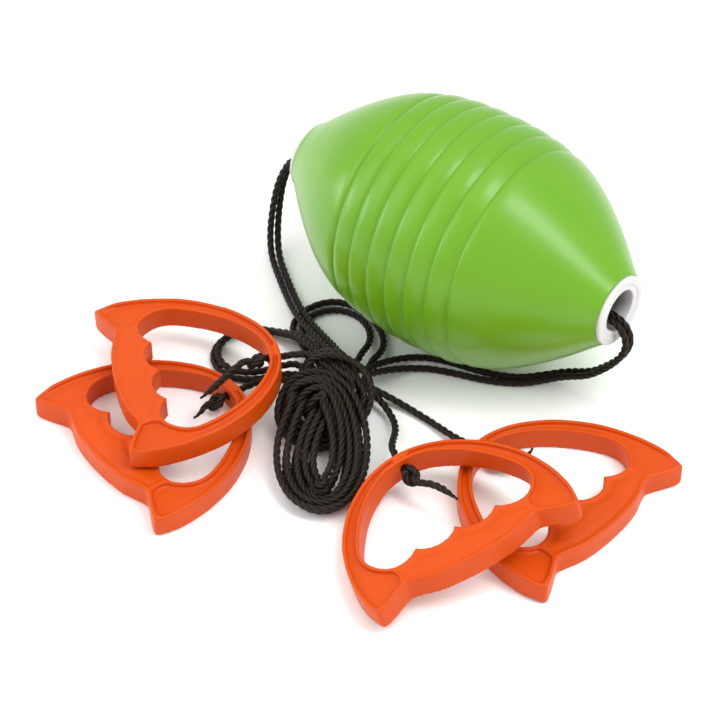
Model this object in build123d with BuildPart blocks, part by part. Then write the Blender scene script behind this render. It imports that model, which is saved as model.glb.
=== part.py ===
"""Two-rope shuttle ball game: a hollow egg-shaped ball that shoots along two
ropes, a pull handle knotted on each of the four rope ends, and the slack of
both ropes tied up in one hank.  Millimetres, +Z up, everything lies on Z = 0.
"""
from build123d import *
import math
import os

os.makedirs("parts", exist_ok=True)

# ---------------------------------------------------------------- dimensions
ROPE_D = 4.0                 # laid rope

BALL_CENTRE = (60.92, 78.46, 71.9)
BALL_YAW = -39.35            # ball axis from +X, degrees
SHELL_HALF = 109.0           # centre crease to nose face
SHELL_T = 2.4                # wall
SHELL_R = 71.9               # largest radius, at the band crests
CREASE_PITCH = 13.38
CREASE_DEPTH = 1.9
CREASES = 3                  # creases each side of the centre one
BAND_END = 46.4              # where the band ends and the cone begins
NOSE_R = 22.6                # flat collar that the bush sits on
NOSE_BORE_R = 16.4
SPIGOT_L = 6.0
SPIGOT_T = 1.2

BUSH_FLANGE_R = 20.9
BUSH_BORE_R = 13.0
BUSH_BARREL_R = 16.4
BUSH_BARREL_L = 15.0
BUSH_FACE = 3.6              # how far the bore's lip stands out of the collar

HANDLE_T = 14.0              # rim thickness
HANDLE_WEB = 8.4             # thickness between the two channels
RIM_W = 2.1
HOLE_R = 2.6
BOSS_W = 9.0
BOSS_T = 12.4
HOLE_GAP = 2.5               # rope lead to handle, so that the handle can swing

# outline of one handle, right half, from the apex down to the fin tip
BOW_OUT = [(0, 97.3), (13.4, 95.2), (23.8, 90.6), (33.1, 84.0), (41.3, 76.2),
           (48.8, 66.3), (55.1, 55.2), (59.7, 42.5), (62.3, 31.0), (63.3, 20.0),
           (62.9, 9.9), (61.0, 1.6)]
FIN_EDGE = [(59.4, 0.2), (53.0, 2.6), (46.5, 5.9), (41.0, 8.7)]
GRIP_OUT = [(38.0, 9.3), (33.0, 7.8), (25.0, 4.9), (13.0, 2.9), (0, 2.3)]
BOW_IN = [(0, 90.7), (9.3, 89.6), (18.4, 85.2), (27.7, 78.0), (35.0, 70.1),
          (40.5, 62.3), (44.9, 54.8), (48.2, 47.6), (50.0, 41.0), (49.6, 34.4),
          (46.5, 28.3), (41.8, 24.0), (35.8, 22.6), (29.6, 24.1), (24.2, 28.2)]
SCALLOP = [(19.0, 23.9), (11.9, 22.3), (4.9, 24.2)]      # next finger, to the middle cusp
CUSP_MID = (0, 28.8)

# channel between the rims, right half
CHANNEL_OUT = [(0, 95.3), (12.8, 93.2), (22.7, 88.8), (31.6, 82.4), (39.6, 74.8),
               (46.9, 65.2), (53.1, 54.3), (57.6, 41.8), (60.1, 30.6), (61.1, 20.0),
               (60.8, 10.4), (59.3, 3.6)]
CHANNEL_FIN = [(53.8, 4.9), (47.4, 8.1), (41.6, 11.2)]
CHANNEL_END = [(40.2, 16.5), (41.3, 21.3)]
CHANNEL_IN = [(43.4, 22.4), (48.3, 27.0), (51.7, 33.6), (52.1, 41.4), (50.2, 48.4),
              (46.8, 55.8), (42.3, 63.5), (36.7, 71.4), (29.2, 79.6), (19.5, 87.0),
              (9.9, 91.6), (0, 92.7)]

# handle poses: origin (middle of the fin-tip line), then yaw, pitch and roll in degrees
HANDLE_POSE = {
    "a": ((-136.64, 0.72, 14.75), -76.237, 0.979, -0.328),
    "b": ((-143.97, -47.35, 0.0), -51.928, 0, 0),
    "c": ((68.48, -138.67, 18.15), 25.52, -6.429, -12.573),
    "d": ((140.84, -98.73, 0.0), 48.101, 0, 0),
}


def pose_dirs(yaw, pitch, roll):
    """Local x and z directions of a plate turned by yaw, then pitched, then rolled."""
    cy, sy = math.cos(math.radians(yaw)), math.sin(math.radians(yaw))
    cp, sp = math.cos(math.radians(pitch)), math.sin(math.radians(pitch))
    cr, sr = math.cos(math.radians(roll)), math.sin(math.radians(roll))
    x = (cy * cr - sy * sp * sr, sy * cr + cy * sp * sr, -cp * sr)
    z = (cy * sr + sy * sp * cr, sy * sr - cy * sp * cr, cp * cr)
    return x, z


def handle_plane(key):
    origin, yaw, pitch, roll = HANDLE_POSE[key]
    x, z = pose_dirs(yaw, pitch, roll)
    return Plane(origin=origin, x_dir=x, z_dir=z)


def mirrored(points):
    return [(-x, y) for x, y in points]


# ------------------------------------------------------------------ handles
def make_handle(key):
    base = handle_plane(key)
    with BuildPart() as handle:
        # full outline: bow, fins, grip
        with BuildSketch(base) as outline:
            with BuildLine():
                Spline(*mirrored(BOW_OUT)[::-1], *BOW_OUT[1:])
                Spline(BOW_OUT[-1], FIN_EDGE[0], tangents=[(-0.15, -1), (-1, 0.35)])
                Spline(*FIN_EDGE)
                Spline(FIN_EDGE[-1], GRIP_OUT[0], tangents=[(-0.9, 0.35), (-1, -0.3)])
                Spline(*GRIP_OUT, *mirrored(GRIP_OUT)[::-1][1:])
                Spline(mirrored(GRIP_OUT)[0], mirrored(FIN_EDGE)[-1], tangents=[(-1, 0.3), (-0.9, -0.35)])
                Spline(*mirrored(FIN_EDGE)[::-1])
                Spline(mirrored(FIN_EDGE)[0], mirrored(BOW_OUT)[-1], tangents=[(-1, -0.35), (-0.15, 1)])
            make_face()
        extrude(amount=HANDLE_T)
        # finger opening with four scallops along the grip
        with BuildSketch(base) as opening:
            with BuildLine():
                Spline(*mirrored(BOW_IN)[::-1], *BOW_IN[1:])
                Spline(BOW_IN[-1], *SCALLOP, CUSP_MID)
                Spline(CUSP_MID, *mirrored(SCALLOP)[::-1], mirrored(BOW_IN)[-1])
            make_face()
        extrude(amount=HANDLE_T, mode=Mode.SUBTRACT)
        # shallow channel between the rims, on both faces
        depth = (HANDLE_T - HANDLE_WEB) / 2
        for level in (0.0, HANDLE_T - depth):
            with BuildSketch(base.offset(level)) as channel:
                with BuildLine():
                    Spline(*mirrored(CHANNEL_OUT)[::-1], *CHANNEL_OUT[1:])
                    Polyline(CHANNEL_OUT[-1], *CHANNEL_FIN)
                    Polyline(CHANNEL_FIN[-1], *CHANNEL_END, CHANNEL_IN[0])
                    Spline(*CHANNEL_IN, *mirrored(CHANNEL_IN)[::-1][1:])
                    Polyline(mirrored(CHANNEL_IN)[0], *mirrored(CHANNEL_END)[::-1], mirrored(CHANNEL_FIN)[-1])
                    Polyline(*mirrored(CHANNEL_FIN)[::-1], mirrored(CHANNEL_OUT)[-1])
                make_face()
            extrude(amount=depth, mode=Mode.SUBTRACT)
        # boss that carries the rope hole across the channel
        with BuildSketch(base.offset((HANDLE_T - BOSS_T) / 2)):
            with Locations((0, 94.0)):
                Rectangle(BOSS_W, 4.6)
        extrude(amount=BOSS_T)
        # rope hole through the bow at its apex
        hole_plane = Plane(origin=base.from_local_coords(Vector(0, 80, HANDLE_T / 2)),
                           x_dir=base.x_dir, z_dir=base.from_local_coords(Vector(0, 1, 0)) - base.origin)
        with BuildSketch(hole_plane):
            Circle(HOLE_R)
        extrude(amount=30, mode=Mode.SUBTRACT)
    handle.part.label = f"handle_{key}"
    export_step(handle.part, f"parts/handle_{key}.step")
    return handle.part


# ---------------------------------------------------------------- ball shell
AXIS = (math.cos(math.radians(BALL_YAW)), math.sin(math.radians(BALL_YAW)), 0)


def ball_plane(sign):
    """Section plane of one half: local x runs out along the axis, local y is the radius."""
    ax = Vector(*AXIS) * sign
    return Plane(origin=BALL_CENTRE, x_dir=ax, z_dir=ax.cross(Vector(0, 0, 1)))


def crest_radius(s):
    """Smooth outer radius over the crests, s from the centre crease."""
    table = [(0, 71.9), (13.4, 71.5), (26.8, 70.0), (40.1, 67.3), (54.8, 62.3), (68, 54.6),
             (82.3, 44.4), (95, 33.9), (104.0, 25.6)]
    for (s0, r0), (s1, r1) in zip(table, table[1:]):
        if s <= s1:
            return r0 + (r1 - r0) * (s - s0) / (s1 - s0)
    return table[-1][1]


def make_shell(name, sign, spigot):
    """One moulded half of the ball: revolved about the ball axis, hollow."""
    with BuildPart() as shell:
        with BuildSketch(ball_plane(sign)) as section:
            with BuildLine():
                # bands between the creases, then the cone and its flat collar
                p = (0, crest_radius(0) - CREASE_DEPTH)
                for k in range(CREASES):
                    s1 = (k + 1) * CREASE_PITCH
                    q = (s1, crest_radius(s1) - CREASE_DEPTH)
                    m = (s1 - CREASE_PITCH / 2, crest_radius(s1 - CREASE_PITCH / 2) + 0.1)
                    ThreePointArc(p, m, q)
                    p = q
                Spline(p, (46.4, 66.0), (54.8, 62.3), (68.0, 54.7), (82.3, 44.2), (95.0, 33.6),
                       (103.6, 25.9), tangents=[(1, 0.45), (1, -0.95)])
                Polyline((103.6, 25.9), (105.4, NOSE_R), (SHELL_HALF, NOSE_R), (SHELL_HALF, NOSE_BORE_R),
                         (105.0, NOSE_BORE_R), (101.6, 23.4))
                inner0 = (0, crest_radius(0) - CREASE_DEPTH - SHELL_T)
                Spline((101.6, 23.4), (93.2, 31.2), (80.6, 41.7), (66.6, 51.6), (53.6, 58.7),
                       (40.1, 62.6), (26.8, 65.6), (13.4, 67.2), inner0)
                if spigot:
                    Polyline(inner0, (-SPIGOT_L, inner0[1]), (-SPIGOT_L, inner0[1] + SPIGOT_T),
                             (0, inner0[1] + SPIGOT_T), p0 := (0, crest_radius(0) - CREASE_DEPTH))
                else:
                    Line(inner0, (0, crest_radius(0) - CREASE_DEPTH))
            make_face()
        revolve(axis=Axis(BALL_CENTRE, AXIS))
        if not spigot:
            # recess that takes the other half's spigot
            r0 = crest_radius(0) - CREASE_DEPTH - SHELL_T
            with BuildSketch(ball_plane(sign)):
                with Locations(((SPIGOT_L + 0.1) / 2 , r0 - 2 + (SPIGOT_T + 2) / 2)):
                    Rectangle(SPIGOT_L + 0.1, SPIGOT_T + 2)
            revolve(axis=Axis(BALL_CENTRE, AXIS), mode=Mode.SUBTRACT)
    # the half is kept as two simple rings that meet face to face: the creased band and the cone
    cut = Plane(origin=on_ball(sign * BAND_END, 0, BALL_CENTRE[2]),
                z_dir=(sign * AXIS[0], sign * AXIS[1], 0))
    with BuildPart() as band:
        add(shell.part)
        split(bisect_by=cut, keep=Keep.BOTTOM)
    with BuildPart() as cone:
        add(shell.part)
        split(bisect_by=cut, keep=Keep.TOP)
    for piece, kind in ((band, "band"), (cone, "cone")):
        piece.part.label = f"ball_{kind}_{name}"
        export_step(piece.part, f"parts/ball_{kind}_{name}.step")
    return [band.part, cone.part]


def make_bush(name, sign):
    face = SHELL_HALF
    with BuildPart() as bush:
        with BuildSketch(ball_plane(sign)):
            with BuildLine():
                Polyline((face, BUSH_BARREL_R), (face, BUSH_FLANGE_R), (face + 1.3, BUSH_FLANGE_R))
                ThreePointArc((face + 1.3, BUSH_FLANGE_R), (face + 2.3, BUSH_FLANGE_R - 1.1),
                              (face + 2.8, BUSH_FLANGE_R - 2.6))
                Polyline((face + 2.8, BUSH_FLANGE_R - 2.6), (face + 3.0, 16.2), (face + 3.5, 15.8),
                         (face + BUSH_FACE, BUSH_BORE_R + 1.4))
                ThreePointArc((face + BUSH_FACE, BUSH_BORE_R + 1.4), (face + BUSH_FACE - 0.4, BUSH_BORE_R + 0.4),
                              (face + BUSH_FACE - 1.4, BUSH_BORE_R))
                Polyline((face + BUSH_FACE - 1.4, BUSH_BORE_R), (face - BUSH_BARREL_L, BUSH_BORE_R),
                         (face - BUSH_BARREL_L, BUSH_BARREL_R), (face, BUSH_BARREL_R))
            make_face()
        revolve(axis=Axis(BALL_CENTRE, AXIS))
    bush.part.label = name
    export_step(bush.part, f"parts/{name}.step")
    return bush.part


# --------------------------------------------------------------------- ropes
def cord(name, points, extra=None):
    """A round tube along straight runs joined by tangent arcs."""
    pts = [Vector(*p) for p in points]
    runs = [b - a for a, b in zip(pts, pts[1:])]
    radii = []
    for r0, r1 in zip(runs, runs[1:]):
        half = math.radians(r0.get_angle(r1)) / 2
        radii.append(0.45 * min(r0.length, r1.length) / math.tan(half))
    with BuildPart() as tube:
        with BuildLine() as route:
            FilletPolyline(*pts, radius=radii)
        with BuildSketch(Plane(origin=pts[0], z_dir=runs[0])):
            Circle(ROPE_D / 2)
        sweep(path=route.wires()[0])
    length = route.wires()[0].length
    ratio = tube.part.volume / (math.pi * ROPE_D ** 2 / 4 * length)
    print(f"{name}: length {length:.0f}, least radius {min(radii):.1f}, volume ratio {ratio:.4f}")
    tube.part.label = name
    export_step(tube.part, f"parts/{name}.step")
    return tube.part


def on_ball(s, n, z):
    """Point at s along the ball axis, n to its side, at height z."""
    return (BALL_CENTRE[0] + s * AXIS[0] - n * AXIS[1], BALL_CENTRE[1] + s * AXIS[1] + n * AXIS[0], z)


def lead_start(key):
    """Where a rope lead stops, just short of its handle's rope hole."""
    return tuple(handle_plane(key).from_local_coords(Vector(0, 97.3 + HOLE_GAP, HANDLE_T / 2)))


ROUTES = {
    "rope_lead_a": [lead_start("a"), (-32.6, 26.4, 23.6), (-22.6, 26.7, 21.5)],
    "rope_lead_b": [lead_start("b"), (-57.6, 19.5, 6.8), (-49.0, 21.6, 8.6), (-40.0, 20.1, 9.4), (-31.0, 16.1, 9.6)],
    "rope_lead_c": [lead_start("c"), (20.6, -40.9, 13.9), (21.6, -31.1, 10.8), (23.6, -18.9, 6.8), (22.2, -7.3, 4.6),
                    (17.0, 3.1, 5.6), (9.6, 10.1, 9.6), (2.0, 15.1, 12.6)],
    "rope_lead_d": [lead_start("d"), (57.8, -24.6, 5.2), (46.2, -10.2, 2.5), (33.4, 1.5, 2.4), (22.1, 9.0, 4.4),
                    (12.8, 13.0, 7.4), (4.0, 16.0, 9.6)],
    "rope_left_loop_1": [(-29.2, 52.6, 12.5), (-36.5, 62.3, 7.0), (-45.6, 68.9, 2.6), (-55.8, 71.9, 2.1),
                         (-65.6, 70.7, 2.1), (-74.0, 65.7, 2.1), (-80.0, 58.1, 2.1), (-82.4, 49.1, 2.1),
                         (-80.8, 40.5, 2.1), (-76.0, 33.3, 2.1), (-68.6, 28.7, 2.1), (-59.6, 27.7, 2.1),
                         (-49.9, 28.9, 2.5), (-40.2, 29.0, 5.6), (-31.4, 25.6, 10.0)],
    "rope_left_loop_2": [(-28.0, 48.5, 13.6), (-36.0, 58.0, 9.0), (-45.4, 64.5, 5.6), (-55.6, 68.1, 5.3),
                         (-64.8, 67.3, 5.3), (-72.3, 63.1, 5.3), (-77.4, 56.5, 5.3), (-79.6, 48.9, 5.3),
                         (-78.2, 41.5, 5.3), (-74.0, 35.1, 5.3), (-67.6, 31.3, 5.3), (-59.4, 30.4, 5.3),
                         (-50.2, 32.0, 5.7), (-41.0, 33.0, 8.6), (-32.2, 30.2, 13.0)],
    "rope_top_loop_1": [(-30.4, 52.5, 9.0), (-35.6, 64.5, 4.0), (-36.4, 75.5, 2.1), (-32.0, 85.5, 2.1),
                        (-24.0, 92.7, 2.1), (-14.2, 96.5, 2.1), (-4.2, 94.7, 2.1), (4.2, 88.5, 2.1),
                        (11.4, 79.5, 2.1), (16.4, 68.7, 2.1), (17.6, 57.3, 2.4), (14.6, 44.9, 6.0),
                        (9.4, 34.5, 10.6)],
    "rope_top_loop_2": [(-25.4, 51.7, 11.0), (-30.0, 62.1, 6.4), (-31.2, 73.1, 2.6), (-27.4, 81.7, 2.1), (-19.8, 87.5, 2.1),
                        (-10.6, 89.1, 2.1), (-2.0, 86.3, 2.1), (4.6, 80.3, 2.1), (8.8, 71.9, 2.1),
                        (9.6, 62.3, 2.5), (7.4, 51.3, 5.8), (3.6, 40.9, 10.4)],
    "rope_run_1": [(-6.4, 24.9, 24.0), (-12.8, 41.5, 17.2), (-21.0, 59.7, 11.6), (-28.6, 77.3, 6.8),
                   (-34.0, 94.7, 3.2), (-38.5, 110.5, 2.1), (-42.2, 123.7, 2.1), (-45.0, 133.9, 2.5),
                   (-46.6, 142.5, 6.4), (-46.9, 149.1, 13.8), (-46.2, 153.9, 23.4), (-44.8, 157.7, 34.0),
                   (-42.6, 160.3, 45.0), on_ball(-130.0, 2.4, 55.6), on_ball(-125.4, 2.2, 62.6),
                   on_ball(-117.4, 2.1, 65.6), on_ball(-104, 2.1, 66.0), on_ball(-82, 2.1, 66.8),
                   on_ball(-44, 2.1, 67.0), on_ball(-6, 2.1, 67.0), on_ball(32, 2.0, 66.8),
                   on_ball(66, 1.8, 66.4), on_ball(90, 1.5, 66.1), on_ball(104.0, 1.3, 66.0), on_ball(112.2, 1.1, 64.4),
                   on_ball(117.4, 0.9, 59.6), on_ball(119.0, 0.7, 52.4), on_ball(116.8, 0.6, 44.4),
                   on_ball(111.8, 0.6, 35.8), on_ball(105.0, 0.2, 27.4), on_ball(96.4, -0.8, 18.6),
                   (121.6, 26.7, 9.8), (110.4, 29.9, 4.2), (97.4, 29.5, 2.1), (84.3, 31.1, 2.1),
                   (71.6, 35.4, 2.1), (58.4, 41.7, 2.1), (45.2, 46.5, 2.1), (32.8, 47.1, 2.1), (21.8, 41.7, 4.6),
                   (12.6, 32.5, 9.6), (4.6, 22.5, 14.6)],
    "rope_run_2": [(-10.4, 22.5, 24.6), (-16.8, 39.1, 18.0), (-25.2, 57.1, 12.4), (-32.6, 75.0, 7.2),
                   (-38.3, 93.1, 3.4), (-42.9, 109.1, 2.1), (-46.6, 122.7, 2.1), (-49.6, 133.7, 2.5),
                   (-51.2, 141.5, 6.6), (-51.4, 147.5, 14.2), (-50.4, 151.5, 23.8), (-48.6, 154.7, 34.4),
                   (-46.0, 156.9, 45.4), on_ball(-129.8, -2.4, 55.8), on_ball(-125.2, -2.3, 62.6),
                   on_ball(-117.2, -2.2, 65.6), on_ball(-104, -2.2, 66.0), on_ball(-82, -2.2, 66.8),
                   on_ball(-44, -2.2, 67.0), on_ball(-6, -2.3, 67.0), on_ball(32, -2.4, 66.8),
                   on_ball(66, -2.6, 66.4), on_ball(90, -3.0, 66.1), on_ball(104.0, -3.2, 66.0), on_ball(112.2, -3.4, 64.4),
                   on_ball(117.4, -3.6, 59.6), on_ball(119.0, -3.8, 52.4), on_ball(116.8, -3.9, 44.4),
                   on_ball(111.8, -4.0, 35.8), on_ball(105.0, -4.6, 27.4), on_ball(96.4, -5.8, 18.6),
                   (119.4, 22.3, 9.8), (108.8, 24.9, 4.2), (96.6, 24.5, 2.1), (84.0, 25.5, 2.1), (71.2, 28.5, 2.1),
                   (58.4, 33.1, 2.1), (45.4, 37.0, 2.1), (33.0, 37.7, 2.1), (22.0, 33.7, 4.6), (12.4, 26.1, 9.4),
                   (4.4, 17.7, 13.4)],
}


# ---------------------------------------------------------- stopper knots
def make_knot(key, tail):
    """Rope end through the hole, the stopper knot behind it and its short tail."""
    base = handle_plane(key)

    def at(x, y, z):
        return base.from_local_coords(Vector(x, y, z + HANDLE_T / 2))

    along = at(0, 1, 0) - at(0, 0, 0)
    with BuildPart() as knot:
        with BuildSketch(Plane(origin=at(0, 97.3, 0), z_dir=along * -1)):
            Circle(ROPE_D / 2)
        extrude(amount=10.0)
        with BuildSketch(Plane(origin=at(0, 90.5, 0), x_dir=base.x_dir, z_dir=base.z_dir)):
            with BuildLine():
                Spline((0, 0), (4.6, -2.2), (5.6, -6.5), (4.4, -10.8), (0, -13.0),
                       tangents=[(1, 0), (-1, 0)])
                Line((0, -13.0), (0, 0))
            make_face()
        revolve(axis=Axis(at(0, 90.5, 0), along))
        pts = [at(*p) for p in tail]
        with BuildLine() as route:
            FilletPolyline(*pts, radius=9)
        with BuildSketch(Plane(origin=pts[0], z_dir=pts[1] - pts[0])):
            Circle(ROPE_D / 2)
        sweep(path=route.wires()[0])
    knot.part.label = f"stopper_knot_{key}"
    export_step(knot.part, f"parts/stopper_knot_{key}.step")
    return knot.part


TAILS = {
    "a": [(0.6, 81.0, 0.2), (5.5, 71.5, 0.6), (9.0, 61.0, -0.6), (10.0, 50.0, -2.6)],
    "b": [(0.5, 80.0, 0), (2.5, 72.5, 0.2), (9.0, 65.5, 0.4), (17.0, 62.0, 0.6)],
    "c": [(0.5, 80.0, 0), (4.0, 72.0, 1.0), (3.0, 64.0, 1.4), (-1.0, 56.0, 0.8)],
    "d": [(0.5, 80.0, 0), (6.0, 74.0, 0.2), (13.0, 72.0, 0.4), (20.0, 74.0, 0.6)],
}


# ---------------------------------------------------------------------- hank
KNOT_OUT = [(-26.0, 50.0), (-11.0, 55.0), (3.0, 48.0), (11.0, 31.0), (11.4, 12.0), (5.0, -10.0),
            (-10.0, -24.0), (-27.0, -29.0), (-39.0, -23.0), (-43.6, -8.0), (-38.6, 10.0), (-33.6, 32.0)]
LOOP_OUT = [(-20.4, -90.5), (-36.0, -81.9), (-44.6, -59.9), (-45.0, -33.9), (-33.0, -7.9), (-16.0, 0.1),
            (-4.0, -9.9), (4.6, -33.9), (3.4, -59.9), (-5.0, -81.9)]
LOOP_HOLE = [(-20.6, -63.9), (-27.0, -55.9), (-29.0, -43.9), (-27.4, -33.9), (-20.0, -30.5), (-14.0, -34.9),
             (-12.6, -44.9), (-14.6, -55.9)]


def make_hank():
    with BuildPart() as hank:
        with BuildSketch(Plane.XY):
            with BuildLine():
                Spline(*KNOT_OUT, periodic=True)
            make_face()
        extrude(amount=27.0)
        top = hank.faces().sort_by(Axis.Z)[-1]
        fillet(top.edges(), radius=9.0)
        with BuildSketch(Plane.XY):
            with BuildLine():
                Spline(*LOOP_OUT, periodic=True)
            make_face()
            with BuildLine():
                Spline(*LOOP_HOLE, periodic=True)
            make_face(mode=Mode.SUBTRACT)
        extrude(amount=12.0)
    hank.part.label = "rope_hank"
    export_step(hank.part, "parts/rope_hank.step")
    return hank.part


# --------------------------------------------------------------------- build
model = [make_handle(k) for k in "abcd"]
model += make_shell("left", -1, False) + make_shell("right", 1, True)
model += [make_bush("rope_bush_left", -1), make_bush("rope_bush_right", 1)]
model += [cord(n, r) for n, r in ROUTES.items()]
model += [make_knot(k, t) for k, t in TAILS.items()]
model += [make_hank()]
solid_ones = Compound(children=[m for m in model if m.label.startswith(("handle", "ball", "rope_bush"))])
bb = solid_ones.bounding_box()
print("box of the ball and handles", bb.min, bb.max, "centre", bb.center())
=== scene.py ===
import bpy, bmesh, math
import numpy as np
from mathutils import Vector, Matrix


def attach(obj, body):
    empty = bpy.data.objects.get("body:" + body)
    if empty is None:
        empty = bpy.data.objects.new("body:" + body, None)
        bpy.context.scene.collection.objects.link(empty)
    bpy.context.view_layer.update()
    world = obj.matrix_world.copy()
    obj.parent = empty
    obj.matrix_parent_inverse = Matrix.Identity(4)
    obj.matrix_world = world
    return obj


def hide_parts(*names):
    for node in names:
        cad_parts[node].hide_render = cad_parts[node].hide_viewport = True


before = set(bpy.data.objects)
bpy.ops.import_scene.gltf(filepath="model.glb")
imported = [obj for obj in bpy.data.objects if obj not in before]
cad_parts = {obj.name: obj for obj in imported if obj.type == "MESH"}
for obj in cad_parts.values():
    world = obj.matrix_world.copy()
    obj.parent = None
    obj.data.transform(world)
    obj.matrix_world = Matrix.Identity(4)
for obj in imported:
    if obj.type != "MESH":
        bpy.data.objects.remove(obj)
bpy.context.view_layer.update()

SCENE = bpy.context.scene

# ------------------------------------------------------------------ camera
cam = bpy.data.objects.new("camera", bpy.data.cameras.new("camera"))
SCENE.collection.objects.link(cam)
cam.location = (0.0033, -0.99179, 0.94925)
cam.rotation_euler = (math.radians(47.576), 0.0, 0.0)
cam.data.lens = 120.775
cam.data.sensor_width = 36.0
cam.data.clip_start = 0.01
cam.data.clip_end = 50.0
SCENE.camera = cam
SCENE.view_settings.view_transform = "Standard"

# ------------------------------------------------------------------- ropes
ROPE_D = 0.004

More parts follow.
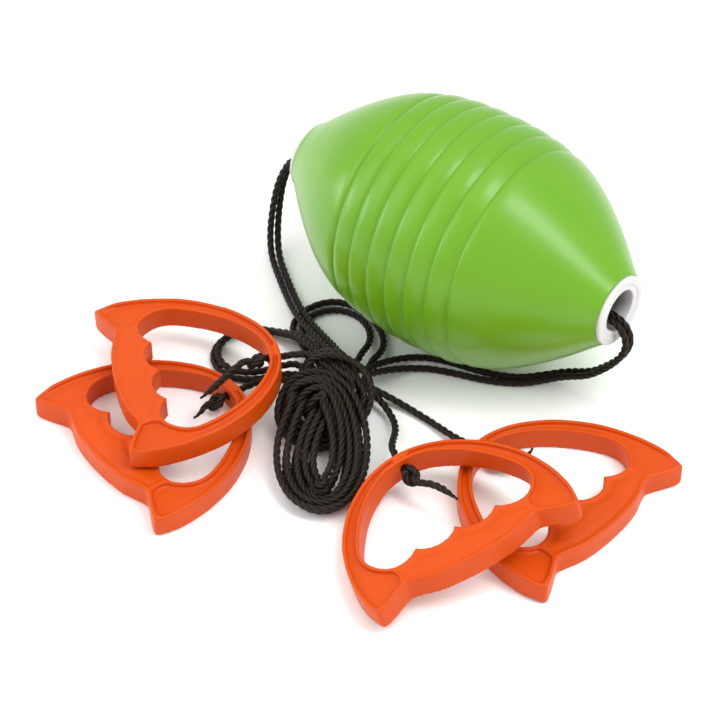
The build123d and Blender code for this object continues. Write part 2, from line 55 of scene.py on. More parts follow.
# given points of the rope routes, row frame
ROUTE = {
    "lead_a": [
        (-0.0398, 0.0245, 0.0235), (-0.0326, 0.0264, 0.0236), (-0.0226, 0.0267, 0.0215),
        ],
    "lead_b": [
        (-0.0654, 0.0142, 0.0070), (-0.0576, 0.0195, 0.0068), (-0.0490, 0.0216, 0.0086), (-0.0400, 0.0201, 0.0094),
        (-0.0310, 0.0161, 0.0096),
        ],
    "lead_c": [
        (0.0240, -0.0491, 0.0138), (0.0206, -0.0409, 0.0139), (0.0216, -0.0311, 0.0108), (0.0236, -0.0189, 0.0068),
        (0.0222, -0.0073, 0.0046), (0.0170, 0.0031, 0.0056), (0.0096, 0.0101, 0.0096), (0.0020, 0.0151, 0.0126),
        ],
    "lead_d": [
        (0.0666, -0.0321, 0.0070), (0.0578, -0.0246, 0.0052), (0.0462, -0.0102, 0.0025), (0.0334, 0.0015, 0.0024),
        (0.0221, 0.0090, 0.0044), (0.0128, 0.0130, 0.0074), (0.0040, 0.0160, 0.0096),
        ],
    "left_loop_1": [
        (-0.0292, 0.0526, 0.0125), (-0.0365, 0.0623, 0.0070), (-0.0456, 0.0689, 0.0026), (-0.0558, 0.0719, 0.0021),
        (-0.0656, 0.0707, 0.0021), (-0.0740, 0.0657, 0.0021), (-0.0800, 0.0581, 0.0021), (-0.0824, 0.0491, 0.0021),
        (-0.0808, 0.0405, 0.0021), (-0.0760, 0.0333, 0.0021), (-0.0686, 0.0287, 0.0021), (-0.0596, 0.0277, 0.0021),
        (-0.0499, 0.0289, 0.0025), (-0.0402, 0.0290, 0.0056), (-0.0314, 0.0256, 0.0100),
        ],
    "left_loop_2": [
        (-0.0280, 0.0485, 0.0136), (-0.0360, 0.0580, 0.0090), (-0.0454, 0.0645, 0.0056), (-0.0556, 0.0681, 0.0053),
        (-0.0648, 0.0673, 0.0053), (-0.0723, 0.0631, 0.0053), (-0.0774, 0.0565, 0.0053), (-0.0796, 0.0489, 0.0053),
        (-0.0782, 0.0415, 0.0053), (-0.0740, 0.0351, 0.0053), (-0.0676, 0.0313, 0.0053), (-0.0594, 0.0304, 0.0053),
        (-0.0502, 0.0320, 0.0057), (-0.0410, 0.0330, 0.0086), (-0.0322, 0.0302, 0.0130),
        ],
    "top_loop_1": [
        (-0.0304, 0.0525, 0.0090), (-0.0356, 0.0645, 0.0040), (-0.0364, 0.0755, 0.0021), (-0.0320, 0.0855, 0.0021),
        (-0.0240, 0.0927, 0.0021), (-0.0142, 0.0965, 0.0021), (-0.0042, 0.0947, 0.0021), (0.0042, 0.0885, 0.0021),
        (0.0114, 0.0795, 0.0021), (0.0164, 0.0687, 0.0021), (0.0176, 0.0573, 0.0024), (0.0146, 0.0449, 0.0060),
        (0.0094, 0.0345, 0.0106),
        ],
    "top_loop_2": [
        (-0.0254, 0.0517, 0.0110), (-0.0300, 0.0621, 0.0064), (-0.0312, 0.0731, 0.0026), (-0.0274, 0.0817, 0.0021),
        (-0.0198, 0.0875, 0.0021), (-0.0106, 0.0891, 0.0021), (-0.0020, 0.0863, 0.0021), (0.0046, 0.0803, 0.0021),
        (0.0088, 0.0719, 0.0021), (0.0096, 0.0623, 0.0025), (0.0074, 0.0513, 0.0058), (0.0036, 0.0409, 0.0104),
        ],
    "run_1": [
        (-0.0064, 0.0249, 0.0240), (-0.0128, 0.0415, 0.0172), (-0.0210, 0.0597, 0.0116), (-0.0286, 0.0773, 0.0068),
        (-0.0340, 0.0947, 0.0032), (-0.0385, 0.1105, 0.0021), (-0.0422, 0.1237, 0.0021), (-0.0450, 0.1339, 0.0025),
        (-0.0466, 0.1425, 0.0064), (-0.0469, 0.1491, 0.0138), (-0.0462, 0.1539, 0.0234), (-0.0448, 0.1577, 0.0340),
        (-0.0426, 0.1603, 0.0450), (-0.0381, 0.1627, 0.0556), (-0.0347, 0.1597, 0.0626), (-0.0285, 0.1545, 0.0656),
        (-0.0182, 0.1460, 0.0660), (-0.0012, 0.1321, 0.0668), (0.0282, 0.1080, 0.0670), (0.0576, 0.0839, 0.0670),
        (0.0869, 0.0597, 0.0668), (0.1131, 0.0380, 0.0664), (0.1315, 0.0226, 0.0661), (0.1422, 0.0135, 0.0660),
        (0.1484, 0.0082, 0.0644), (0.1523, 0.0047, 0.0596), (0.1534, 0.0035, 0.0524), (0.1516, 0.0049, 0.0444),
        (0.1478, 0.0080, 0.0358), (0.1422, 0.0120, 0.0274), (0.1350, 0.0167, 0.0186), (0.1216, 0.0267, 0.0098),
        (0.1104, 0.0299, 0.0042), (0.0974, 0.0295, 0.0021), (0.0843, 0.0311, 0.0021), (0.0716, 0.0354, 0.0021),
        (0.0584, 0.0417, 0.0021), (0.0452, 0.0465, 0.0021), (0.0328, 0.0471, 0.0021), (0.0218, 0.0417, 0.0046),
        (0.0126, 0.0325, 0.0096), (0.0046, 0.0225, 0.0146),
        ],
    "run_2": [
        (-0.0104, 0.0225, 0.0246), (-0.0168, 0.0391, 0.0180), (-0.0252, 0.0571, 0.0124), (-0.0326, 0.0750, 0.0072),
        (-0.0383, 0.0931, 0.0034), (-0.0429, 0.1091, 0.0021), (-0.0466, 0.1227, 0.0021), (-0.0496, 0.1337, 0.0025),
        (-0.0512, 0.1415, 0.0066), (-0.0514, 0.1475, 0.0142), (-0.0504, 0.1515, 0.0238), (-0.0486, 0.1547, 0.0344),
        (-0.0460, 0.1569, 0.0454), (-0.0410, 0.1589, 0.0558), (-0.0374, 0.1561, 0.0626), (-0.0311, 0.1511, 0.0656),
        (-0.0209, 0.1427, 0.0660), (-0.0039, 0.1288, 0.0668), (0.0255, 0.1047, 0.0670), (0.0548, 0.0805, 0.0670),
        (0.0841, 0.0563, 0.0668), (0.1103, 0.0346, 0.0664), (0.1286, 0.0191, 0.0661), (0.1393, 0.0100, 0.0660),
        (0.1455, 0.0047, 0.0644), (0.1494, 0.0012, 0.0596), (0.1505, 0.0001, 0.0524), (0.1488, 0.0014, 0.0444),
        (0.1448, 0.0045, 0.0358), (0.1392, 0.0083, 0.0274), (0.1318, 0.0129, 0.0186), (0.1194, 0.0223, 0.0098),
        (0.1088, 0.0249, 0.0042), (0.0966, 0.0245, 0.0021), (0.0840, 0.0255, 0.0021), (0.0712, 0.0285, 0.0021),
        (0.0584, 0.0331, 0.0021), (0.0454, 0.0370, 0.0021), (0.0330, 0.0377, 0.0021), (0.0220, 0.0337, 0.0046),
        (0.0124, 0.0261, 0.0094), (0.0044, 0.0177, 0.0134),
        ],
}

# centreline of one turn of the tied hank, closed
HANK = [
    (-0.0240, 0.0200, 0.0200), (-0.0109, 0.0168, 0.0260), (0.0005, 0.0106, 0.0240), (0.0044, 0.0021, 0.0180),
    (-0.0001, -0.0085, 0.0110), (-0.0090, -0.0203, 0.0060), (-0.0202, -0.0257, 0.0050), (-0.0309, -0.0205, 0.0070),
    (-0.0360, -0.0112, 0.0120), (-0.0321, -0.0028, 0.0180), (-0.0225, 0.0001, 0.0230), (-0.0136, -0.0005, 0.0220),
    (-0.0085, -0.0077, 0.0180), (-0.0039, -0.0208, 0.0150), (-0.0017, -0.0356, 0.0100), (-0.0022, -0.0516, 0.0065),
    (-0.0076, -0.0681, 0.0060), (-0.0173, -0.0764, 0.0060), (-0.0272, -0.0688, 0.0060), (-0.0325, -0.0524, 0.0065),
    (-0.0316, -0.0356, 0.0100), (-0.0273, -0.0232, 0.0150), (-0.0214, -0.0091, 0.0170), (-0.0193, 0.0070, 0.0150),
    (-0.0223, 0.0187, 0.0150),
]

# where each strand of the skein lies beside its centreline: across, up
SLOTS = [(-0.0066, -0.0018), (-0.0022, -0.0020), (0.0022, -0.0020), (0.0066, -0.0018), (0.0088, 0.0018),
         (0.0044, 0.0019), (0.0000, 0.0021), (-0.0044, 0.0019), (-0.0088, 0.0018)]
rng = np.random.default_rng(11)
TURN = np.array(HANK)
NT = len(TURN)
FINE = 20                       # steps between two points of the turn


def round_turn():
    """The closed centreline, its corners rounded to what a bundle of rope can bend to."""
    out = []
    for i in range(NT):
        p, q, r = TURN[i - 1], TURN[i], TURN[(i + 1) % NT]
        for u in np.arange(0, 1, 1 / FINE):
            out.append(0.5 * (p + q) * (1 - u) ** 2 + 2 * q * u * (1 - u) + 0.5 * (q + r) * u * u)
    out = np.roll(np.array(out), -FINE // 2, axis=0)
    for _ in range(130):
        out = 0.25 * np.roll(out, 1, axis=0) + 0.5 * out + 0.25 * np.roll(out, -1, axis=0)
    return out


MID = round_turn()
MD = np.roll(MID, -1, axis=0) - np.roll(MID, 1, axis=0)
ML = np.linalg.norm(MD[:, :2], axis=1)
SIDE = np.stack([-MD[:, 1] / ML, MD[:, 0] / ML, np.zeros(len(MD))], 1)
for _ in range(90):             # where the skein climbs steeply its level heading says little, so the side turns slowly
    SIDE = 0.25 * np.roll(SIDE, 1, axis=0) + 0.5 * SIDE + 0.25 * np.roll(SIDE, -1, axis=0)
SIDE /= np.linalg.norm(SIDE, axis=1)[:, None]
T3 = MD / np.linalg.norm(MD, axis=1)[:, None]
SIDE -= T3 * (SIDE * T3).sum(1)[:, None]
SIDE /= np.linalg.norm(SIDE, axis=1)[:, None]
RUN = np.linalg.norm(np.roll(MID, -3, axis=0) - np.roll(MID, 3, axis=0), axis=1)
BEND = ((np.roll(T3, -3, axis=0) - np.roll(T3, 3, axis=0)) * SIDE).sum(1) / RUN   # signed, one over the radius


def inner_room(sign):
    """How far strands may lie towards the inside of the bend at each step: the rest of them pile up."""
    k = np.maximum(sign * BEND, 1e-6)
    r = np.clip(1 / k - 0.0065, 0.0008, 0.0120)
    for _ in range(60):
        r = np.minimum(r, 0.25 * np.roll(r, 1) + 0.5 * r + 0.25 * np.roll(r, -1))
    return r


ROOM_LEFT, ROOM_RIGHT = inner_room(1), inner_room(-1)
WANDER = rng.normal(0, 1, (9, 3, 2))


def at(field, t):
    x = (t % NT) * FINE
    i, u = int(x), x - int(x)
    return field[i % len(field)] * (1 - u) + field[(i + 1) % len(field)] * u


def skein(t0, t1, slot0):
    """Control points from phase t0 to phase t1; the strand changes place in the skein by one slot in each turn."""
    n = max(2, int(round(abs(t1 - t0) / 0.62)))
    pts = []
    for k in range(n + 1):
        t = t0 + (t1 - t0) * k / n
        prog = slot0 + abs(t - t0) / NT
        i = int(prog) % 9
        f = prog - int(prog)
        f = 0.0 if f < 0.7 else (f - 0.7) / 0.3
        f = f * f * (3 - 2 * f)
        su, sv = np.array(SLOTS[i]) * (1 - f) + np.array(SLOTS[(i + 1) % 9]) * f
        ang = 2 * math.pi * (t % NT) / NT
        w = WANDER[i] * (1 - f) + WANDER[(i + 1) % 9] * f
        su += 0.0007 * sum(w[m, 0] * math.cos((m + 1) * ang + w[m, 1]) for m in range(3))
        room = at(ROOM_LEFT, t) if su > 0 else at(ROOM_RIGHT, t)
        kept = math.copysign(min(abs(su), room), su)
        side = at(SIDE, t)
        pts.append(at(MID, t) + side / np.linalg.norm(side) * kept + np.array((0, 0, sv + 0.45 * (abs(su) - abs(kept)))))
    return pts


R = {k: [np.array(p) for p in v] for k, v in ROUTE.items()}


def chain(*parts):
    pts, free = [], []
    for name, seq in parts:
        for i, p in enumerate(seq):
            pts.append(p)
            # a route may give way a little where it goes into the hank, and nowhere else
            inside = (i == 0 or i == len(seq) - 1) and not (len(pts) == 1 or name == "lead" and i == 0)
            free.append(1.0 if name == "skein" else 0.5 if inside else 0.0)
    return np.array(pts), np.array(free)


# rope 1: handle a, hank, ball from the right bush to the left one, hank, handle c
# rope 2: handle b, hank, ball from the left bush to the right one, hank, handle d
rope_points = {
    "rope_one": chain(
        ("lead", R["lead_a"]), ("skein", skein(2.0, NT - 1.6, 0)),
        ("loop", R["left_loop_1"][::-1]), ("skein", skein(1.8, NT - 1.4, 1)),
        ("loop", R["top_loop_1"]), ("skein", skein(4.2, NT + 0.9, 2)),
        ("run", R["run_1"][::-1]), ("skein", skein(3.4, NT + 1.2, 3)),
        ("lead", R["lead_c"][::-1])),
    "rope_two": chain(
        ("lead", R["lead_b"]), ("skein", skein(NT - 2.4, 3.0 - NT, 4)),
        ("run", R["run_2"]), ("skein", skein(4.6, NT - 1.6, 6)),
        ("loop", R["left_loop_2"][::-1]), ("skein", skein(1.8, NT - 1.4, 7)),
        ("loop", R["top_loop_2"]), ("skein", skein(4.2, NT + 1.0, 8)),
        ("lead", R["lead_d"][::-1])),
}


def basis(n, per=4):
    """Rows that turn n control points into points of the clamped quadratic spline."""
    rows = []
    for s in range(n - 2):
        for u in np.arange(0, 1, 1 / per):
            a0 = 1.0 if s == 0 else 0.5
            b0 = 1.0 if s == n - 3 else 0.5
            w = np.zeros(n)
            w[s] = a0 * (1 - u) ** 2
            w[s + 2] = b0 * u * u
            w[s + 1] = 1 - w[s] - w[s + 2]
            rows.append(w)
    return np.array(rows)


def settle(ropes, rounds=150):
    """Strands that cross or touch push each other apart until they lie beside and over each other, above the floor."""
    names = list(ropes)
    X0 = np.concatenate([ropes[k][0] for k in names])
    free = np.concatenate([ropes[k][1] for k in names])[:, None]
    mats = [basis(len(ropes[k][0])) for k in names]
    M = np.zeros((sum(m.shape[0] for m in mats), len(X0)))
    r = c = 0
    for m in mats:
        M[r:r + m.shape[0], c:c + m.shape[1]] = m
        r += m.shape[0]
        c += m.shape[1]
    weight = M.sum(0)[:, None]
    rope_of = np.concatenate([np.full(m.shape[0], i) for i, m in enumerate(mats)])
    X = X0.copy()
    for it in range(rounds):
        S = M @ X
        step = np.linalg.norm(np.diff(S, axis=0), axis=1)
        arc = np.concatenate([[0], np.cumsum(step)])
        near = np.where((S[:, 0] > -0.06) & (S[:, 0] < 0.035) & (S[:, 1] > -0.1) & (S[:, 1] < 0.07) & (S[:, 2] < 0.06))[0]
        Q = S[near]
        D = np.sqrt(np.maximum(((Q[:, None] - Q[None]) ** 2).sum(2), 1e-12))
        other = (rope_of[near][:, None] != rope_of[near][None]) | (np.abs(arc[near][:, None] - arc[near][None]) > 0.013)
        i, j = np.where((D < 0.0043) & other)
        F = np.zeros_like(S)
        if len(i):
            v = Q[i] - Q[j]
            v[:, 2] += 0.15 * np.sign(v[:, 2] + 1e-9) * 0.001
            v *= ((0.0043 - D[i, j]) / D[i, j] * 0.5)[:, None]
            np.add.at(F, near[i], v)
            count = np.bincount(near[i], minlength=len(S))[:, None]
            F /= np.maximum(count, 1) ** 0.5
        low = np.minimum(S[:, 2] - 0.0021, 0)
        F[:, 2] -= low
        push = (M.T @ F) / weight
        X += free * (push * 1.6 - (0.010 if it < rounds * 0.6 else 0.002) * (X - X0))
        # a little stiffness, so that the strands stay smooth
        shift = X - X0
        bend = np.zeros_like(X)
        bend[1:-1] = 0.5 * (shift[2:] + shift[:-2]) - shift[1:-1]
        X += free * 0.22 * bend
    S = M @ X
    out, c = {}, 0
    for k in names:
        n = len(ropes[k][0])
        out[k] = X[c:c + n]
        c += n
    return out


settled = settle(rope_points)


def nurbs(name, pts):
    cu = bpy.data.curves.new(name + "_line", "CURVE")
    cu.dimensions = "3D"
    sp = cu.splines.new("NURBS")
    sp.points.add(len(pts) - 1)
    for q, p in zip(sp.points, pts):
        q.co = (float(p[0]), float(p[1]), float(p[2]), 1.0)
    sp.order_u = 3
    sp.use_endpoint_u = True
    sp.resolution_u = 14
    o = bpy.data.objects.new(name + "_line", cu)
    SCENE.collection.objects.link(o)
    return o


def line_of(curve_obj):
    bpy.context.view_layer.update()
    me = bpy.data.meshes.new_from_object(curve_obj)
    pts = np.array([v.co[:] for v in me.vertices])
    bpy.data.meshes.remove(me)
    return pts


def even(pts, step):
    d = np.concatenate([[0], np.cumsum(np.linalg.norm(np.diff(pts, axis=0), axis=1))])
    n = max(8, int(d[-1] / step))
    s = np.linspace(0, d[-1], n + 1)
    return np.stack([np.interp(s, d, pts[:, k]) for k in range(3)], 1), s


def laid(name, pts, mat, pitch=0.0145, d=ROPE_D, step=0.00075, sides=8, taper=0.0):
    """Three strands laid round the line that pts give."""
    P, s = even(pts, step)
    T = np.gradient(P, axis=0)
    T /= np.linalg.norm(T, axis=1)[:, None]
    N = np.zeros_like(T)
    v = np.cross(T[0], (0.3, 0.2, 1.0))
    N[0] = v / np.linalg.norm(v)
    for k in range(1, len(T)):
        w = N[k - 1] - T[k] * np.dot(N[k - 1], T[k])
        N[k] = w / np.linalg.norm(w)
    B = np.cross(T, N)
    off, rad = d * 0.27, d * 0.265
    size = np.ones(len(P))
    if taper:
        size = np.clip((s[-1] - s) / taper, 0.18, 1.0) ** 0.6
    verts, faces, uvs = [], [], []
    for q in range(3):
        ph = 2 * math.pi * (s / pitch + q / 3.0)
        cN, cB = np.cos(ph), np.sin(ph)
        C = P + (N * cN[:, None] + B * cB[:, None]) * (off * size)[:, None]
        out = N * cN[:, None] + B * cB[:, None]
        tan = np.gradient(C, axis=0)
        tan /= np.linalg.norm(tan, axis=1)[:, None]
        out = out - tan * (out * tan).sum(1)[:, None]
        out /= np.linalg.norm(out, axis=1)[:, None]
        lat = np.cross(tan, out)
        base = len(verts)
        for a in range(sides):
            pass
        ang = np.arange(sides) * 2 * math.pi / sides
        ring = (C[:, None] + (out[:, None] * np.cos(ang)[None, :, None] + lat[:, None] * 1.08 * np.sin(ang)[None, :, None])
                * (rad * size)[:, None, None])
        verts.extend(map(tuple, ring.reshape(-1, 3)))
        n = len(P)
        for i in range(n - 1):
            for a in range(sides):
                b = (a + 1) % sides
                faces.append((base + i * sides + a, base + (i + 1) * sides + a, base + (i + 1) * sides + b, base + i * sides + b))
                u0, u1 = s[i] * 100, s[i + 1] * 100
                v0, v1 = a / sides, (a + 1) / sides
                uvs.extend(((u0, v0), (u1, v0), (u1, v1), (u0, v1)))
        faces.append(tuple(base + a for a in range(sides)))
        uvs.extend([(0, a / sides) for a in range(sides)])
        faces.append(tuple(base + (n - 1) * sides + a for a in range(sides - 1, -1, -1)))
        uvs.extend([(0, a / sides) for a in range(sides)])
    me = bpy.data.meshes.new(name)
    me.from_pydata(verts, [], faces)
    uv = me.uv_layers.new(name="UVMap")
    uv.data.foreach_set("uv", np.array(uvs, np.float32).ravel())
    me.shade_smooth()
    me.materials.append(mat)
    o = bpy.data.objects.new(name, me)
    SCENE.collection.objects.link(o)
    return o, P, float(s[-1])

# --------------------------------------------------------------- materials
def material(name, base, rough, **sockets):
    m = bpy.data.materials.new(name)
    m.use_nodes = True
    nt = m.node_tree
    b = nt.nodes["Principled BSDF"]
    b.inputs["Base Color"].default_value = (*base, 1)
    b.inputs["Roughness"].default_value = rough
    for k, v in sockets.items():
        b.inputs[k.replace("_", " ")].default_value = v
    return m, nt, b


def noise(nt, scale, detail=3.0, rough=0.5):
    n = nt.nodes.new("ShaderNodeTexNoise")
    n.inputs["Scale"].default_value = scale
    n.inputs["Detail"].default_value = detail
    n.inputs["Roughness"].default_value = rough
    co = nt.nodes.new("ShaderNodeTexCoord")
    nt.links.new(co.outputs["Object"], n.inputs["Vector"])
    return n


def ramp(nt, src, lo, hi, c0, c1):
    r = nt.nodes.new("ShaderNodeValToRGB")
    r.color_ramp.elements[0].position = lo
    r.color_ramp.elements[1].position = hi
    r.color_ramp.elements[0].color = (*c0, 1)
    r.color_ramp.elements[1].color = (*c1, 1)
    nt.links.new(src, r.inputs["Fac"])
    return r


def spread(nt, src, lo, hi):
    r = nt.nodes.new("ShaderNodeMapRange")
    r.inputs["To Min"].default_value = lo
    r.inputs["To Max"].default_value = hi
    nt.links.new(src, r.inputs["Value"])
    return r


def bump(nt, b, src, strength, distance):
    n = nt.nodes.new("ShaderNodeBump")
    n.inputs["Strength"].default_value = strength
    n.inputs["Distance"].default_value = distance
    nt.links.new(src, n.inputs["Height"])
    nt.links.new(n.outputs["Normal"], b.inputs["Normal"])


# moulded green plastic: slight blotches in the colour, a fine mould skin, faint rub marks
green, nt, b = material("green_plastic", (0.115, 0.36, 0.008), 0.34, Coat_Weight=0.12, Coat_Roughness=0.2, Specular_IOR_Level=0.36,
                        Subsurface_Weight=0.0)
blot = noise(nt, 14, 2)
nt.links.new(ramp(nt, blot.outputs["Fac"], 0.3, 0.7, (0.112, 0.306, 0.0060), (0.126, 0.328, 0.0075)).outputs["Color"],
             b.inputs["Base Color"])
nt.links.new(spread(nt, noise(nt, 60, 4).outputs["Fac"], 0.26, 0.36).outputs["Result"], b.inputs["Roughness"])
bump(nt, b, noise(nt, 900, 2).outputs["Fac"], 0.05, 0.0004)

# moulded orange plastic
orange, nt, b = material("orange_plastic", (0.50, 0.068, 0.001), 0.42, Specular_IOR_Level=0.22)
blot = noise(nt, 30, 3)
nt.links.new(ramp(nt, blot.outputs["Fac"], 0.3, 0.7, (0.545, 0.060, 0.0008), (0.580, 0.067, 0.0014)).outputs["Color"],
             b.inputs["Base Color"])
nt.links.new(spread(nt, noise(nt, 120, 4).outputs["Fac"], 0.36, 0.5).outputs["Result"], b.inputs["Roughness"])
bump(nt, b, noise(nt, 1300, 2).outputs["Fac"], 0.07, 0.0004)

# white bush
white, nt, b = material("white_plastic", (0.82, 0.82, 0.80), 0.4)
nt.links.new(ramp(nt, noise(nt, 70, 3).outputs["Fac"], 0.3, 0.75, (0.57, 0.57, 0.56), (0.64, 0.64, 0.625)).outputs["Color"],
             b.inputs["Base Color"])
nt.links.new(spread(nt, noise(nt, 200, 3).outputs["Fac"], 0.34, 0.5).outputs["Result"], b.inputs["Roughness"])
bump(nt, b, noise(nt, 1200, 2).outputs["Fac"], 0.05, 0.0003)

# near-black laid rope: fibres along each strand, from the strand's own UV
rope_mat, nt, b = material("rope", (0.012, 0.010, 0.008), 0.42, Specular_IOR_Level=0.22)
uvn = nt.nodes.new("ShaderNodeUVMap")
mp = nt.nodes.new("ShaderNodeMapping")
mp.inputs["Scale"].default_value = (3.0, 22.0, 1.0)
nt.links.new(uvn.outputs["UV"], mp.inputs["Vector"])
fib = nt.nodes.new("ShaderNodeTexNoise")
fib.inputs["Scale"].default_value = 3.0
fib.inputs["Detail"].default_value = 4.0
nt.links.new(mp.outputs["Vector"], fib.inputs["Vector"])
nt.links.new(ramp(nt, fib.outputs["Fac"], 0.3, 0.75, (0.0015, 0.0009, 0.0006), (0.0290, 0.0180, 0.0105)).outputs["Color"],
             b.inputs["Base Color"])
nt.links.new(spread(nt, fib.outputs["Fac"], 0.30, 0.55).outputs["Result"], b.inputs["Roughness"])
bump(nt, b, fib.outputs["Fac"], 0.5, 0.0003)

for n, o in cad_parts.items():
    m = orange if n.startswith("handle") else green if n.startswith("ball") else white if n.startswith("rope_bush") else rope_mat
    o.data.materials.clear()
    o.data.materials.append(m)

# ------------------------------------------------------------------- make
POSE = {
    "a": ((-0.13664, 0.00072, 0.01475), -76.237, 0.979, -0.328),
    "b": ((-0.14397, -0.04735, 0.0), -51.928, 0, 0),
    "c": ((0.06848, -0.13867, 0.01815), 25.52, -6.429, -12.573),
    "d": ((0.14084, -0.09873, 0.0), 48.101, 0, 0),
}


def on_handle(key, p):
    """A point across, towards the apex and up from a handle's mid-thickness, in the row frame."""
    origin, yaw, pitch, roll = POSE[key]
    m = (Matrix.Rotation(math.radians(yaw), 3, "Z") @ Matrix.Rotation(math.radians(pitch), 3, "X")
         @ Matrix.Rotation(math.radians(roll), 3, "Y"))
    return np.array(Vector(origin) + m @ Vector((p[0], p[1], p[2] + 0.007)))


def smoothstep(x):
    x = np.clip(x, 0.0, 1.0)
    return x * x * (3 - 2 * x)


YAW = math.radians(-39.35)
BALL_AX = np.array((math.cos(YAW), math.sin(YAW), 0))
BALL_ACROSS = np.array((-BALL_AX[1], BALL_AX[0], 0))
BALL_CENTRE = np.array((0.06092, 0.07846, 0.0719))


def turned(name, prof, n, mat):
    """A closed skin turned about the ball's axis; prof is (distance along the axis, radius) in mm, going round."""
    prof = np.array(prof) / 1000
    th = np.arange(n) * 2 * math.pi / n
    ring = np.cos(th)[:, None] * BALL_ACROSS + np.sin(th)[:, None] * np.array((0, 0, 1.0))
    verts = (BALL_CENTRE + prof[:, 0][:, None, None] * BALL_AX + prof[:, 1][:, None, None] * ring[None]).reshape(-1, 3)
    m = len(prof)
    faces = [(i * n + k, i * n + (k + 1) % n, ((i + 1) % m) * n + (k + 1) % n, ((i + 1) % m) * n + k) for i in range(m) for k in range(n)]
    me = bpy.data.meshes.new(name)
    me.from_pydata(verts.tolist(), [], faces)
    bm = bmesh.new()
    bm.from_mesh(me)
    bmesh.ops.recalc_face_normals(bm, faces=bm.faces)
    bm.to_mesh(me)
    bm.free()
    me.shade_smooth()
    me.materials.append(mat)
    o = bpy.data.objects.new(name, me)
    SCENE.collection.objects.link(o)
    return o


def make_ball():
    """Full bands that stand up sharply just past each crease and roll over into the next, then the cones."""
    table = np.array([(0, 71.9), (13.4, 71.5), (26.8, 70.3), (40.1, 67.7), (54.8, 62.3), (68, 54.7), (82.3, 44.2), (95, 33.6),
                      (103.2, 26.2), (105.4, 24.2), (107.4, 22.5), (108.4, 21.9), (109, 21.3)])
    fine = np.arange(-109, 109.01, 0.25)
    crest = np.interp(np.abs(fine), table[:, 0], table[:, 1])
    w = np.exp(-0.5 * (np.arange(-64, 65) * 0.25 / 4.5) ** 2)
    wide = np.convolve(np.pad(crest, 64, mode="edge"), w / w.sum(), "valid")
    k = np.clip((np.abs(fine) - 92) / 7, 0, 1)
    crest = wide * (1 - k) + crest * k + 0.15 * (1 - k)
    outer = np.concatenate([np.arange(-109, -42, 1.0), np.arange(-42, 42, 0.22), np.arange(42, 103, 1.0), np.arange(103, 109.01, 0.5)])
    pitch = 13.38
    u = (outer + 3 * pitch) / pitch
    f = u - np.floor(u)
    shape = np.maximum(np.exp(-f * pitch / 1.3), f ** 4)
    inside = (u >= 0) & (u < 6)
    edge = np.where(u < 0, np.exp(np.minimum(u, 0) * pitch / 2.0), np.exp(-np.maximum(u - 6, 0) * pitch / 1.8))
    r = np.interp(outer, fine, crest) - 1.9 * np.where(inside, shape, edge)
    inner_s = np.linspace(104.9, -104.9, 60)
    inner_r = np.interp(np.abs(inner_s), [0, 40, 53.6, 66.6, 80.6, 93.2, 101.6, 104.9], [67.4, 62.6, 58.7, 51.6, 41.7, 31.2, 23.2, 16.6])
    prof = np.concatenate([np.stack([outer, r], 1), [[109, 16.6]], np.stack([inner_s, inner_r], 1), [[-109, 16.6]]])
    o = turned("ball_skin", prof, 224, green)
    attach(o, "ball")
    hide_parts(*[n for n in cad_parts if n.startswith("ball_")])


BORE, FLANGE, BARREL = 12.5, 20.9, 16.4     # millimetres


def make_bush(side, sign, bore, flange, barrel):
    """White bush: rounded flange, a shallow step, and a mouth that rolls into the bore."""
    mouth = [(0.9 + 0.9 * math.sin(t), bore + 0.9 * (1 - math.cos(t))) for t in np.linspace(0, math.pi / 2, 6)]
    lip = [(1.3 + 1.2 * math.sin(t), flange - 1.2 + 1.2 * math.cos(t)) for t in np.linspace(0, math.pi / 2, 7)]
    prof = [(-11, bore)] + mouth + [(1.8, bore + 2.2), (1.85, 15.9), (2.0, 16.2), (2.4, 16.5), (2.5, 16.9)] + lip[::-1] + [
        (0.0, flange), (0.0, barrel), (-11, barrel)]
    o = turned("bush_" + side, [(sign * (109 + x), r) for x, r in prof], 96, white)
    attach(o, "ball")
    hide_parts("rope_bush_" + side)


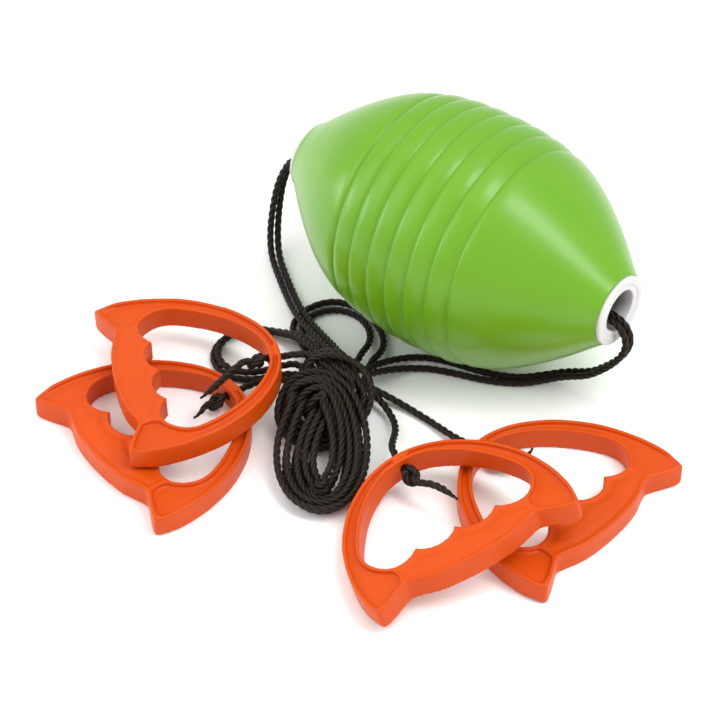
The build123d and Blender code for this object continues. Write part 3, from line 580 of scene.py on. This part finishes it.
def make_handle(key):
    """Moulded handle: the frame's handle with its edges and fin tips rounded, and a rim and crown on the grip."""
    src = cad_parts["handle_" + key]
    o = bpy.data.objects.new("grip_" + key, src.data.copy())
    SCENE.collection.objects.link(o)
    mod = o.modifiers.new("remesh", "REMESH")
    mod.mode = "VOXEL"
    mod.voxel_size = 0.00062
    bpy.context.view_layer.update()
    me = bpy.data.meshes.new_from_object(o.evaluated_get(bpy.context.evaluated_depsgraph_get()))
    o.modifiers.clear()
    o.data = me
    me.name = "grip_" + key
    nv = len(me.vertices)
    P = np.empty(nv * 3)
    me.vertices.foreach_get("co", P)
    P = P.reshape(-1, 3)
    E = np.empty(len(me.edges) * 2, np.int64)
    me.edges.foreach_get("vertices", E)
    E = E.reshape(-1, 2)
    deg = np.bincount(E.ravel(), minlength=nv)[:, None]

    def relax(Q, rounds, k=0.5):
        for _ in range(rounds):
            acc = np.zeros_like(Q)
            for c in range(3):
                acc[:, c] = np.bincount(E[:, 0], Q[E[:, 1], c], nv) + np.bincount(E[:, 1], Q[E[:, 0], c], nv)
            Q = Q + k * (acc / deg - Q)
        return Q

    origin, yaw, pitch, roll = POSE[key]
    rot = np.array(Matrix.Rotation(math.radians(yaw), 3, "Z") @ Matrix.Rotation(math.radians(pitch), 3, "X")
                   @ Matrix.Rotation(math.radians(roll), 3, "Y"))
    L = (P - np.array(origin)) @ rot
    L[:, 2] -= 0.007
    N = np.empty(nv * 3)
    me.vertices.foreach_get("normal", N)
    nl = N.reshape(-1, 3) @ rot
    from mathutils.kdtree import KDTree
    wall = np.where(np.abs(nl[:, 2]) < 0.35)[0]
    tree = KDTree(len(wall))
    for q in wall:
        tree.insert((L[q, 0], L[q, 1], 0.0), int(q))
    tree.balance()
    grip = (np.abs(L[:, 0]) < 0.043) & (L[:, 1] < 0.031) & (np.abs(nl[:, 2]) > 0.6)
    for q in np.where(grip)[0]:
        d = tree.find((L[q, 0], L[q, 1], 0.0))[2]
        fade = float(smoothstep((0.043 - abs(L[q, 0])) / 0.007))
        dip = 0.00085 * float(smoothstep((d - 0.0014) / 0.0012)) - 0.00075 * float(smoothstep((d - 0.0034) / 0.0045))
        L[q, 2] -= math.copysign(dip * fade, L[q, 2])
    soft = relax(L.copy(), 5)
    round_tip = relax(soft.copy(), 34)
    tip = smoothstep((np.abs(L[:, 0]) - 0.0560) / 0.0050) * smoothstep((0.016 - L[:, 1]) / 0.010)
    L = soft * (1 - tip[:, None]) + round_tip * tip[:, None]
    L[:, 2] += 0.007
    me.vertices.foreach_set("co", (L @ rot.T + np.array(origin)).ravel())
    me.materials.clear()
    me.materials.append(orange)
    me.shade_smooth()
    me.update()
    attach(o, "handle_%s_body" % key)
    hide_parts("handle_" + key)


make_ball()
make_bush("left", -1, BORE, FLANGE, BARREL)
make_bush("right", 1, BORE, FLANGE, BARREL)
for key in "abcd":
    make_handle(key)

# rope end: through the hole, a tied overhand knot behind it, then the tail
KNOT = [(0, 0.1001, 0), (0, 0.0955, 0), (0, 0.0915, 0), (0.0005, 0.0882, 0.0016), (0.0026, 0.0856, 0.0026), (0.0033, 0.0822, 0.0010),
        (0.0012, 0.0798, -0.0024), (-0.0024, 0.0806, -0.0026), (-0.0034, 0.0838, -0.0006), (-0.0018, 0.0866, 0.0026),
        (0.0014, 0.0860, -0.0026), (0.0010, 0.0820, -0.0010), (0.0002, 0.0782, 0.0020), (0.0006, 0.0748, 0.0010)]
TAIL = {
    "a": [(0.0034, 0.0700, -0.0002), (0.0080, 0.0635, -0.0008), (0.0128, 0.0575, -0.0014), (0.0168, 0.0522, -0.0018), (0.0203, 0.0473, -0.0018)],
    "b": [(0.0015, 0.0722, 0.0002), (0.0030, 0.0690, 0.0004), (0.0036, 0.0655, 0.0006)],
    "c": [(0.0046, 0.0718, 0.0008), (0.0078, 0.0660, 0.0010), (0.0102, 0.0585, 0.0010), (0.0119, 0.0502, 0.0008)],
    "d": [(0.0055, 0.0735, 0.0002), (0.0110, 0.0722, 0.0004), (0.0155, 0.0728, 0.0006), (0.0200, 0.0740, 0.0006)],
}
for key in "abcd":
    line = nurbs("knot_" + key, [on_handle(key, p) for p in KNOT + TAIL[key]])
    knot, _, _ = laid("rope_knot_" + key, line_of(line), rope_mat, sides=8, step=0.0005, taper=0.012)
    bpy.data.objects.remove(line)
    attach(knot, "handle_%s_body" % key)
    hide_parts("stopper_knot_" + key)

# the strands beside handle a's bow are eased in, to clear it
for P in settled.values():
    P[:, 0] += (0.0024 * np.clip((-0.0350 - P[:, 0]) / 0.005, 0, 1) * np.clip((P[:, 2] - 0.009) / 0.004, 0, 1)
                * np.exp(-((P[:, 1] + 0.0037) / 0.011) ** 2))

CUT = {
    "rope_one": (["rope_lead_a", "rope_run_1", "rope_lead_c", "rope_left_loop_1", "rope_top_loop_1", "rope_hank"], "ac"),
    "rope_two": (["rope_lead_b", "rope_run_2", "rope_lead_d", "rope_left_loop_2", "rope_top_loop_2"], "bd"),
}
lengths = {}
for name, (nodes, ends) in CUT.items():
    line = nurbs(name, settled[name])
    rope, pts, length = laid(name, line_of(line), rope_mat)
    bpy.data.objects.remove(line)
    lengths[name] = length
    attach(rope, "ropes")
    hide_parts(*nodes)
print("rope lengths in metres", {k: round(v, 3) for k, v in lengths.items()})

# ------------------------------------------------------------ floor, light
me = bpy.data.meshes.new("floor")
bm = bmesh.new()
bmesh.ops.create_grid(bm, x_segments=8, y_segments=8, size=6.0)
bm.to_mesh(me)
bm.free()
floor = bpy.data.objects.new("floor", me)
floor.location.z = -0.0004
SCENE.collection.objects.link(floor)
fm, nt, b = material("floor", (0.97, 0.97, 0.97), 0.8)
nt.links.new(ramp(nt, noise(nt, 3, 2).outputs["Fac"], 0.2, 0.8, (0.965, 0.965, 0.965), (0.975, 0.975, 0.975)).outputs["Color"],
             b.inputs["Base Color"])
me.materials.append(fm)

world = bpy.data.worlds.new("studio")
SCENE.world = world
world.use_nodes = True
world.node_tree.nodes["Background"].inputs["Color"].default_value = (1, 1, 1, 1)
world.node_tree.nodes["Background"].inputs["Strength"].default_value = 0.92


def area(name, loc, target, size, power):
    l = bpy.data.lights.new(name, "AREA")
    l.shape = "RECTANGLE"
    l.size, l.size_y = size
    l.energy = power
    o = bpy.data.objects.new(name, l)
    SCENE.collection.objects.link(o)
    o.location = loc
    o.rotation_euler = (Vector(target) - Vector(loc)).to_track_quat("-Z", "Y").to_euler()


area("strip", (0.80, -0.38, 1.32), (0.10, 0.03, 0.08), (0.42, 1.4), 15)
area("fill", (-1.25, -0.25, 1.15), (0, 0, 0.05), (1.2, 1.2), 7)
area("kicker", (-1.45, 0.26, 0.36), (0.05, 0.08, 0.08), (0.7, 0.4), 5)
area("top", (0.0, 0.3, 1.8), (0, 0.05, 0), (1.6, 1.0), 4)
